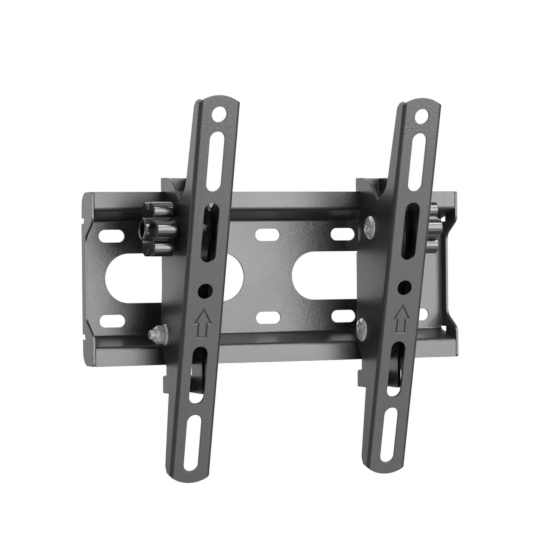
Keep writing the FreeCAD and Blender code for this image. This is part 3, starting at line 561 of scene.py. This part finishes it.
def knob_tree():
    """A hollow lobed grip from x = 0, its lobes and valleys rounded at both ends."""
    tree, given = new_tree("Lobed grip", [
        "Lobes", "Lobe circle", "Lobe radius", "Core radius", "Bore radius", "Valley round",
        "Edge round", "Length", "Steps", "Columns"])
    # The outer rows run from one end of the bore to the other, and one more row at the
    # start closes the bore.
    last = add_node(tree, "ShaderNodeMath", {
        0: given["Steps"], 1: 2.0, 2: 3.0}, operation="MULTIPLY_ADD")
    span = add_node(tree, "ShaderNodeMath", {0: last, 1: 1.0}, operation="ADD")
    grid, row, turn = row_grid(tree, span, given["Columns"])
    to_end, between = from_ends(tree, row, last)
    # Along the rounded edge the outline draws in and the rows close up.
    share = add_node(tree, "ShaderNodeMath", {
        0: add_node(tree, "ShaderNodeMath", {0: to_end, 1: 1.0}, operation="SUBTRACT"),
        1: given["Steps"]}, operation="DIVIDE", use_clamp=True)
    bend = add_node(tree, "ShaderNodeMath", {
        0: share, 1: math.pi / 2}, operation="MULTIPLY")
    inset, depth = [add_node(tree, "ShaderNodeMath", {
        0: add_node(tree, "ShaderNodeMath", {
            0: 1.0, 1: add_node(tree, "ShaderNodeMath", {0: bend}, operation=kind)},
            operation="SUBTRACT"),
        1: given["Edge round"]}, operation="MULTIPLY") for kind in ("SINE", "COSINE")]
    beyond = add_node(tree, "ShaderNodeMath", {0: row, 1: to_end}, operation="GREATER_THAN")
    outer = add_node(tree, "ShaderNodeMath", {0: to_end, 1: -0.5}, operation="GREATER_THAN")
    far = add_node(tree, "ShaderNodeMath", {0: beyond, 1: outer}, operation="MULTIPLY")
    along = add_node(tree, "ShaderNodeMix", {
        "Factor": far, "A": depth, "B": add_node(tree, "ShaderNodeMath", {
            0: given["Length"], 1: depth}, operation="SUBTRACT")})
    # Each lobe is a circle about a point on the lobe circle, seen from the nearest one.
    angle = add_node(tree, "ShaderNodeMath", {
        0: turn, 1: 2 * math.pi}, operation="MULTIPLY")
    half = add_node(tree, "ShaderNodeMath", {
        0: math.pi, 1: given["Lobes"]}, operation="DIVIDE")
    folded = add_node(tree, "ShaderNodeMath", {
        0: angle, 1: half, 2: add_node(tree, "ShaderNodeMath", {
            0: half, 1: -1.0}, operation="MULTIPLY")}, operation="WRAP")
    lead, aside = [add_node(tree, "ShaderNodeMath", {
        0: given["Lobe circle"],
        1: add_node(tree, "ShaderNodeMath", {0: folded}, operation=kind)},
        operation="MULTIPLY") for kind in ("COSINE", "SINE")]
    lobe, core = [add_node(tree, "ShaderNodeMath", {
        0: given[name], 1: inset}, operation="SUBTRACT")
        for name in ("Lobe radius", "Core radius")]
    left = add_node(tree, "ShaderNodeMath", {
        0: add_node(tree, "ShaderNodeMath", {0: lobe, 1: 2.0}, operation="POWER"),
        1: add_node(tree, "ShaderNodeMath", {0: aside, 1: 2.0}, operation="POWER")},
        operation="SUBTRACT")
    on_lobe = add_node(tree, "ShaderNodeMath", {0: left, 1: 0.0}, operation="GREATER_THAN")
    reach = add_node(tree, "ShaderNodeMath", {
        0: add_node(tree, "ShaderNodeMath", {
            0: lead, 1: add_node(tree, "ShaderNodeMath", {
                0: add_node(tree, "ShaderNodeMath", {
                    0: left, 1: 0.0}, operation="MAXIMUM")}, operation="SQRT")},
            operation="ADD"),
        1: on_lobe}, operation="MULTIPLY")
    outline = add_node(tree, "ShaderNodeMath", {
        0: reach, 1: core, 2: given["Valley round"]}, operation="SMOOTH_MAX")
    radius = add_node(tree, "ShaderNodeMix", {
        "Factor": between, "A": given["Bore radius"], "B": outline})
    end_tree(tree, given, grid, along, radius, angle)
    return tree


thread = thread_tree()
grip = knob_tree()


def fastener_place(side, centre, turn=ARM_TILT):
    """From a fastener's own axes, x along its shank, to its place on an arm."""
    move = Matrix.Translation(centre + Vector((ARM_CENTRES[side], 0, 0)))
    flip = Matrix.Rotation(math.pi if OUTWARDS[side] < 0 else 0, 4, "Z")
    return move @ Matrix.Rotation(turn, 4, "X") @ flip


# Bolt: domed head with a cross recess, square neck, coarse metric thread
BOLT_RADIUS = 2.98
BOLT_LENGTH = 35.0
BOLT_BEVEL = 0.7
BOLT_PITCH = 1.0
BOLT_THREAD = 0.55
BOLT_SHARP_FOLD = 40.0     # degrees
THREAD_ROWS_PER_TURN = 8
THREAD_COLUMNS = 33.0
NECK_LENGTH = 1.8
NECK_SINK = 0.2            # how far the neck reaches into the head
HEAD_RADIUS = 7.1
HEAD_HEIGHT = 2.8
HEAD_RIM = 0.25
HEAD_STEPS = 18
HEAD_EDGE = 0.12           # rounding of the recess's mouth and floor
HEAD_ROUNDED_FOLD = 40.0   # degrees
RECESS_DEPTH = 1.3
RECESS_ABOVE = 0.5         # how far the cutter starts above the head
RECESS_TURN = math.radians(30)
CROSS_TOP = (4.2, 1.0)     # half length and half width of the cross where it starts
CROSS_FLOOR = (2.4, 0.55)


def bolt_head(turn):
    """Cup head with its cross recess at this turn, seated at x = 0."""
    rows = [(0, 0), (0, HEAD_RADIUS - HEAD_RIM), (-HEAD_RIM, HEAD_RADIUS)]
    for step in range(1, HEAD_STEPS):
        angle = math.pi / 2 * step / HEAD_STEPS
        height = (HEAD_HEIGHT - HEAD_RIM) * math.sin(angle)
        rows.append((-HEAD_RIM - height, HEAD_RADIUS * math.cos(angle)))
    rows.append((-HEAD_HEIGHT, 0))
    head = add_piece("bolt_head", lathe("bolt_head", rows))
    outlines = []
    for x, (half_length, half_width) in ((-HEAD_HEIGHT - RECESS_ABOVE, CROSS_TOP),
                                         (-HEAD_HEIGHT + RECESS_DEPTH, CROSS_FLOOR)):
        corners = []
        for quarter in range(4):
            quarter_turn = Matrix.Rotation(turn + math.pi / 2 * quarter, 2)
            for corner in ((half_length, -half_width), (half_length, half_width),
                           (half_width, half_width)):
                corners.append((x, *(quarter_turn @ Vector(corner))))
        outlines.append(corners)
    cut_away(head, add_piece("recess_cutter", prism("recess_cutter", *outlines)))
    round_edges(head, HEAD_EDGE, HEAD_ROUNDED_FOLD)
    mesh = head.data
    bpy.data.objects.remove(head)
    return mesh


def make_bolt(side, which, centre):
    head = bolt_head(RECESS_TURN * OUTWARDS[side])
    half = BOLT_RADIUS
    square = [(-half, -half), (half, -half), (half, half), (-half, half)]
    neck = prism("neck", *[[(x, y, z) for y, z in square] for x in (-NECK_SINK, NECK_LENGTH)])
    rod = grown("rod", thread, zinc, radius=BOLT_RADIUS * MM, pitch=BOLT_PITCH * MM,
                depth=BOLT_THREAD * MM, length=BOLT_LENGTH * MM, bevel=BOLT_BEVEL * MM,
                rows=BOLT_LENGTH / BOLT_PITCH * THREAD_ROWS_PER_TURN,
                columns=THREAD_COLUMNS)
    bolt = joined(f"zinc_{side}_{which}_bolt", [head, neck, rod], zinc)
    bolt.data.transform(Matrix.Translation((-ARM_HALF, 0, 0)))
    bolt.data.transform(fastener_place(side, centre))
    shade(bolt, BOLT_SHARP_FOLD)
    finish_piece(bolt, f"{side}_arm", "zinc_steel", f"{side}_{which}_bolt")


# Locking nut: flange, bevelled hexagon, collar rolled over a plastic ring
NUT_FLATS = 10.0
NUT_HEIGHT = 6.0
NUT_BORE_RADIUS = 3.05
NUT_TOP_INSET = 0.1        # how far the top's edge lies inside the flats
NUT_BEVEL_STEPS = 6
NUT_COLUMNS = 72
NUT_SHARP_FOLD = 28.0      # degrees
# Height and radius along each profile
FLANGE_PROFILE = [(0, NUT_BORE_RADIUS), (0, 6.05), (0.15, 6.2), (0.8, 6.2), (1.2, 5.7)]
HEXAGON_FOOT = 1.22
COLLAR_PROFILE = [
    (NUT_HEIGHT, 4.3), (6.77, 4.3), (7.25, 3.95), (7.4, 3.55), (7.05, 3.2),
    (6.8, NUT_BORE_RADIUS), (0, NUT_BORE_RADIUS)]


def hexagon(limit):
    """Radius of the nut's hexagon, held within a limit that bevels its corners."""
    def radius(angle):
        folded = (angle + math.pi / 6) % (math.pi / 3) - math.pi / 6
        return min(NUT_FLATS / 2 / math.cos(folded), limit)
    return radius


def make_nut(side):
    corner = NUT_FLATS / math.sqrt(3)
    slope = (corner - NUT_FLATS / 2) / math.sqrt(3)
    rows = FLANGE_PROFILE + [(HEXAGON_FOOT, hexagon(corner))]
    for step in range(NUT_BEVEL_STEPS + 1):
        share = step / NUT_BEVEL_STEPS
        limit = corner + (NUT_FLATS / 2 - NUT_TOP_INSET - corner) * share
        rows.append((NUT_HEIGHT - slope * (1 - share), hexagon(limit)))
    name = f"zinc_{side}_pivot_nut"
    nut = add_piece(name, lathe(name, rows + COLLAR_PROFILE, NUT_COLUMNS), zinc)
    nut.data.transform(Matrix.Translation((ARM_HALF, 0, 0)))
    nut.data.transform(fastener_place(side, PIVOT))
    shade(nut, NUT_SHARP_FOLD)
    finish_piece(nut, f"{side}_arm", "zinc_steel", f"{side}_pivot_nut")


# Clamp knob: lobed grip between two hubs, hollow at the far end
KNOB_START = 12.55
KNOB_ROOT = 2.4
KNOB_CORE = 11.9
KNOB_NOSE = 3.6
KNOB_SHARP_FOLD = 50.0     # degrees
LOBES = 6.0
LOBE_CIRCLE = 12.3
LOBE_RADIUS = 5.2
LOBE_EDGE = 0.7
LOBE_EDGE_STEPS = 4.0
VALLEY_ROUND = 1.6
GRIP_LENGTH = 12.5
GRIP_BORE = 6.0            # inside the hub's wall
GRIP_COLUMNS = 241.0
HUB_RADIUS = 6.85
HUB_EDGE = [(0.6, 0.0), (0.2, 0.2), (0.0, 0.6)]   # back from the end, in from the side
RECESS_RADIUS = 4.3
RECESS_LENGTH = 5.5
RECESS_EDGE = [(0.0, 0.4), (0.3, 0.1)]            # back from the end, out from the recess
PASSAGE_RADIUS = 3.4
SOCKET_RADIUS = 4.5        # holds the threaded insert
SOCKET_LENGTH = 11.0


def make_knob(side):
    lobes = grown("lobes", grip, plastic, lobes=LOBES, lobe_circle=LOBE_CIRCLE * MM,
                  lobe_radius=LOBE_RADIUS * MM, core_radius=KNOB_CORE * MM,
                  bore_radius=GRIP_BORE * MM, valley_round=VALLEY_ROUND * MM,
                  edge_round=LOBE_EDGE * MM, length=GRIP_LENGTH * MM,
                  steps=LOBE_EDGE_STEPS, columns=GRIP_COLUMNS)
    lobes.transform(Matrix.Translation(((KNOB_START + KNOB_ROOT) * MM, 0, 0)))
    near = KNOB_START
    far = near + KNOB_ROOT + GRIP_LENGTH + KNOB_NOSE
    socket_end = near + SOCKET_LENGTH
    recess = far - RECESS_LENGTH
    rows = [(near, SOCKET_RADIUS), (near, HUB_RADIUS)]
    rows += [(far - back, HUB_RADIUS - inwards) for back, inwards in HUB_EDGE]
    rows += [(far - back, RECESS_RADIUS + outwards) for back, outwards in RECESS_EDGE]
    rows += [(recess, RECESS_RADIUS), (recess, PASSAGE_RADIUS), (socket_end, PASSAGE_RADIUS),
             (socket_end, SOCKET_RADIUS), (near, SOCKET_RADIUS)]
    knob = joined(f"moulded_{side}_clamp_knob", [lobes, lathe("hub", rows)], plastic)
    knob.data.transform(fastener_place(side, CLAMP, turn=0))
    even_normals(knob, KNOB_SHARP_FOLD)
    finish_piece(knob, f"{side}_knob", "knob_plastic", f"{side}_clamp_knob")


for side in ARM_CENTRES:
    make_bolt(side, "pivot", PIVOT)
    make_bolt(side, "clamp", CLAMP)
    make_nut(side)
    make_knob(side)

# Solids that keep their own shape take only a finish.
for node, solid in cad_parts.items():
    finish = zinc if node.endswith("knob_insert") else nylon
    solid.data.materials.clear()
    solid.data.materials.append(finish)


# Camera, at the place that the photograph was taken from
VIEW_TURN = math.radians(-21.557)
VIEW_RISE = math.radians(0.914)
VIEW_ROLL = math.radians(-0.551)
VIEW_DISTANCE = 1496.0 * MM
VIEW_TARGET = Vector((8.35, 0.0, -2.41)) * MM
VIEW_SENSOR = 36.0
VIEW_WIDTH = 560       # pixels
VIEW_FOCUS = 2435.45   # focal length in those pixels


def way_to(turn, rise):
    """The direction from the bracket to a place at this turn and rise."""
    return Vector((math.sin(turn) * math.cos(rise), -math.cos(turn) * math.cos(rise),
                   math.sin(rise)))


def add_camera():
    back = way_to(VIEW_TURN, VIEW_RISE)
    right = Vector((math.cos(VIEW_TURN), math.sin(VIEW_TURN), 0))
    up = back.cross(right)
    across = right * math.cos(VIEW_ROLL) + up * math.sin(VIEW_ROLL)
    upright = up * math.cos(VIEW_ROLL) - right * math.sin(VIEW_ROLL)
    turn = Matrix((across, upright, back)).transposed().to_4x4()
    data = bpy.data.cameras.new("Camera")
    data.sensor_width = VIEW_SENSOR
    data.lens = VIEW_FOCUS / VIEW_WIDTH * VIEW_SENSOR
    camera = bpy.data.objects.new("Camera", data)
    bpy.context.scene.collection.objects.link(camera)
    camera.matrix_world = Matrix.Translation(VIEW_TARGET + back * VIEW_DISTANCE) @ turn
    bpy.context.scene.camera = camera


# Lamps: turn and rise in degrees, then distance, width and height in metres, then level
LAMPS = {
    "key": (20, 7, 1.2, 1.0, 0.86, 3.8),
    "key_low": (20, -29, 1.2, 1.0, 0.65, 0.95),
    "strip": (20, 42, 1.2, 1.0, 0.4, 5.5),
    "top": (0, 75, 1.5, 1.2, 0.8, 0.7),
}


def add_lamp(name, turn, rise, distance, width, height, level):
    """A soft panel seen from the bracket at this turn and rise, this bright."""
    data = bpy.data.lights.new(name, "AREA")
    data.shape = "RECTANGLE"
    data.size, data.size_y = width, height
    data.energy = level * math.pi * width * height
    back = way_to(math.radians(turn), math.radians(rise))
    lamp = bpy.data.objects.new(name, data)
    bpy.context.scene.collection.objects.link(lamp)
    lamp.location = back * distance
    lamp.rotation_mode = "QUATERNION"
    lamp.rotation_quaternion = back.to_track_quat("Z", "Y")
    lamp.visible_camera = False


# World: each span runs over the y of a ray's direction, from -1 in front to 1 behind
SIDE_SPAN = (-0.15, 0.15)
COVE_SPAN = (0.35, 0.7)
ROOM_FRONT = 0.035
ROOM_SIDE = 0.42
COVE = 1.0
ROOM_FILL = 0.6


def add_world():
    """White studio cove behind, darker room in front; plain soft fill for matt surfaces."""
    world = bpy.data.worlds.new("Studio")
    bpy.context.scene.world = world
    world.use_nodes = True
    tree = world.node_tree
    tree.nodes.clear()
    rays = add_node(tree, "ShaderNodeLightPath")
    way = add_node(tree, "ShaderNodeSeparateXYZ", {
        "Vector": add_node(tree, "ShaderNodeTexCoord").outputs["Generated"]})
    beside, behind = [add_node(tree, "ShaderNodeMapRange", {
        "Value": way.outputs["Y"], "From Min": span[0], "From Max": span[1],
        "To Min": low_level, "To Max": high_level}, interpolation_type="SMOOTHSTEP")
        for span, low_level, high_level in (
            (SIDE_SPAN, ROOM_FRONT, ROOM_SIDE), (COVE_SPAN, 0.0, COVE - ROOM_SIDE))]
    room = add_node(tree, "ShaderNodeMath", {0: beside, 1: behind}, operation="ADD")
    seen = add_node(tree, "ShaderNodeMath", {
        0: rays.outputs["Is Camera Ray"], 1: rays.outputs["Is Transmission Ray"]},
        operation="MAXIMUM")
    glossy = add_node(tree, "ShaderNodeMix", {
        "Factor": rays.outputs["Is Glossy Ray"], "A": ROOM_FILL, "B": room})
    level = add_node(tree, "ShaderNodeMix", {"Factor": seen, "A": glossy, "B": COVE})
    sky = add_node(tree, "ShaderNodeBackground", {"Color": WHITE, "Strength": level})
    add_node(tree, "ShaderNodeOutputWorld", {"Surface": sky})


# Floor: pale, keeps the bracket's shadow nearby and melts into the white cove further
# out. Mirrored in the bracket, it dims from the cove towards the bracket's stand.
# Spans are distances from the middle in metres, and shares and levels run along them.
FLOOR_DEPTH = -950.0 * MM
FLOOR_HALF = 25.0   # m
FLOOR_PAINT = linear("#ececea")
MELT_SPAN, MELT_SHARES = (0.5, 1.4), (0.45, 1.0)
MIRROR_SPAN, MIRROR_LEVELS = (4.0, 25.0), (0.25, 0.95)


def add_floor():
    material, tree = new_material("studio_floor")
    rays = add_node(tree, "ShaderNodeLightPath")
    distance = add_node(tree, "ShaderNodeVectorMath", {
        0: add_node(tree, "ShaderNodeTexCoord").outputs["Object"]}, operation="LENGTH")
    melted, mirrored = [add_node(tree, "ShaderNodeMapRange", {
        "Value": distance.outputs["Value"], "From Min": span[0], "From Max": span[1],
        "To Min": ends[0], "To Max": ends[1]}, interpolation_type=kind)
        for span, ends, kind in ((MELT_SPAN, MELT_SHARES, "SMOOTHSTEP"),
                                 (MIRROR_SPAN, MIRROR_LEVELS, "LINEAR"))]
    share = add_node(tree, "ShaderNodeMath", {
        0: rays.outputs["Is Camera Ray"], 1: melted}, operation="MULTIPLY")
    paint = add_node(tree, "ShaderNodeBsdfDiffuse", {"Color": FLOOR_PAINT})
    glow = add_node(tree, "ShaderNodeEmission", {"Color": WHITE, "Strength": 1.0})
    mixed = add_node(tree, "ShaderNodeMixShader", {0: share, 1: paint, 2: glow})
    image = add_node(tree, "ShaderNodeEmission", {"Color": WHITE, "Strength": mirrored})
    whole = add_node(tree, "ShaderNodeMixShader", {
        0: rays.outputs["Is Glossy Ray"], 1: mixed, 2: image})
    add_node(tree, "ShaderNodeOutputMaterial", {"Surface": whole})
    mesh = bpy.data.meshes.new("floor")
    corners = [(x * FLOOR_HALF, y * FLOOR_HALF, 0)
               for x, y in ((-1, -1), (1, -1), (1, 1), (-1, 1))]
    mesh.from_pydata(corners, [], [(0, 1, 2, 3)])
    floor = add_piece("floor", mesh, material)
    floor.location.z = FLOOR_DEPTH


add_camera()
for name, placing in LAMPS.items():
    add_lamp(name, *placing)
add_world()
add_floor()
bpy.context.scene.view_settings.view_transform = "Standard"
